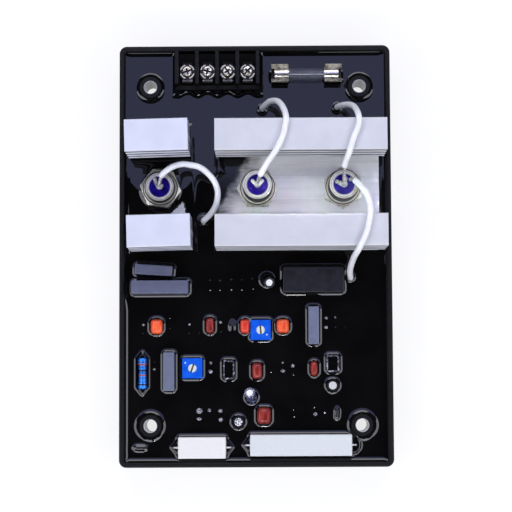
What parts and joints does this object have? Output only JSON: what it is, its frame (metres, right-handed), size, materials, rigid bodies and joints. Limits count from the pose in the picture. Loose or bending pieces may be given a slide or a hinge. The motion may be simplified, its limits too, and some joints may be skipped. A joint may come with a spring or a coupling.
{
  "type": "automatic voltage regulator",
  "caption": "Potted generator voltage regulator in a shallow tray, with finned heat sinks, stud rectifiers on white leads, a screw terminal strip, a glass fuse and trimmers.",
  "frame": {"origin": "middle of the tray's flat back, at the back's face", "axes": "+X along the short side, +Y along the long side towards the terminal strip, +Z out of the resin on the component side"},
  "size_m": [0.128, 0.1986, 0.05],
  "materials": {
    "tray_plastic": "moulded black plastic, satin",
    "resin": "glossy black potting resin",
    "board": "green board, hidden in the resin",
    "strip_plastic": "black moulding",
    "nickel": "bright nickel plate",
    "fuse_glass": "clear glass",
    "tinned_wire": "tinned wire",
    "sink_aluminium": "mill-finish extrusion",
    "device_metal": "nickel-plated, satin",
    "seal_violet": "blue-violet glass seal",
    "lead_white": "white insulation",
    "film_grey": "grey moulded case",
    "block_black": "black moulded case",
    "dip_orange": "orange dipped coating",
    "dip_red": "red-brown dipped coating",
    "trimmer_blue": "blue moulded case",
    "rotor_white": "white moulding",
    "resistor_blue": "blue lacquer with colour bands",
    "ceramic_white": "white ceramic",
    "sleeve_black": "shrunk plastic sleeve",
    "can_aluminium": "bright can"
  },
  "bodies": {
    "regulator": {"tray": "tray_plastic", "potting": "resin", "circuit_board": "board", "terminal_block": "strip_plastic", "terminal_plates": "nickel", "clamp_washers": "nickel", "terminal_screws": "nickel", "fuse_clip_left": "nickel", "fuse_clip_right": "nickel", "fuse_tube": "fuse_glass", "fuse_cap_left": "nickel", "fuse_cap_right": "nickel", "fuse_wire": "tinned_wire", "heatsink_small": "sink_aluminium", "heatsink_large": "sink_aluminium", "diode_left_base": "device_metal", "diode_middle_base": "device_metal", "thyristor_base": "device_metal", "diode_left_seal": "seal_violet", "diode_middle_seal": "seal_violet", "thyristor_seal": "seal_violet", "diode_left_lug": "device_metal", "diode_middle_lug": "device_metal", "thyristor_lug": "device_metal", "gate_lug": "device_metal", "stud_nuts": "device_metal", "stud_washers": "device_metal", "diode_left_lead": "lead_white", "diode_middle_lead": "lead_white", "thyristor_lead": "lead_white", "gate_lead": "lead_white", "lead_tails": "tinned_wire", "film_capacitor_1": "film_grey", "film_capacitor_2": "film_grey", "film_capacitor_3": "film_grey", "film_capacitor_4": "film_grey", "block_capacitor": "block_black", "orange_capacitor_1": "dip_orange", "orange_capacitor_2": "dip_orange", "orange_capacitor_3": "dip_orange", "red_capacitor_1": "dip_red", "red_capacitor_2": "dip_red", "red_capacitor_3": "dip_red", "red_capacitor_4": "dip_red", "voltage_trimmer_body": "trimmer_blue", "stability_trimmer_body": "trimmer_blue", "film_resistor": "resistor_blue", "ceramic_resistor_short": "ceramic_white", "ceramic_resistor_long": "ceramic_white", "resistor_wires": "tinned_wire", "electrolytic_1": "sleeve_black", "electrolytic_2": "sleeve_black", "electrolytic_3": "sleeve_black", "electrolytic_4": "sleeve_black", "electrolytic_cans": "can_aluminium", "dip_package_1": "block_black", "dip_package_2": "block_black"},
    "voltage_rotor": {"voltage_trimmer_rotor": "rotor_white"},
    "stability_rotor": {"stability_trimmer_rotor": "rotor_white"}
  },
  "joints": [
    {"name": "voltage_adjust", "type": "hinge", "parent": "regulator", "child": "voltage_rotor", "pos_m": [0.00221, -0.03537, 0.0199], "axis": [0, 0, 1], "range_deg": [-140, 140]},
    {"name": "stability_adjust", "type": "hinge", "parent": "regulator", "child": "stability_rotor", "pos_m": [-0.02984, -0.05316, 0.0199], "axis": [0, 0, 1], "range_deg": [-140, 140]}
  ]
}
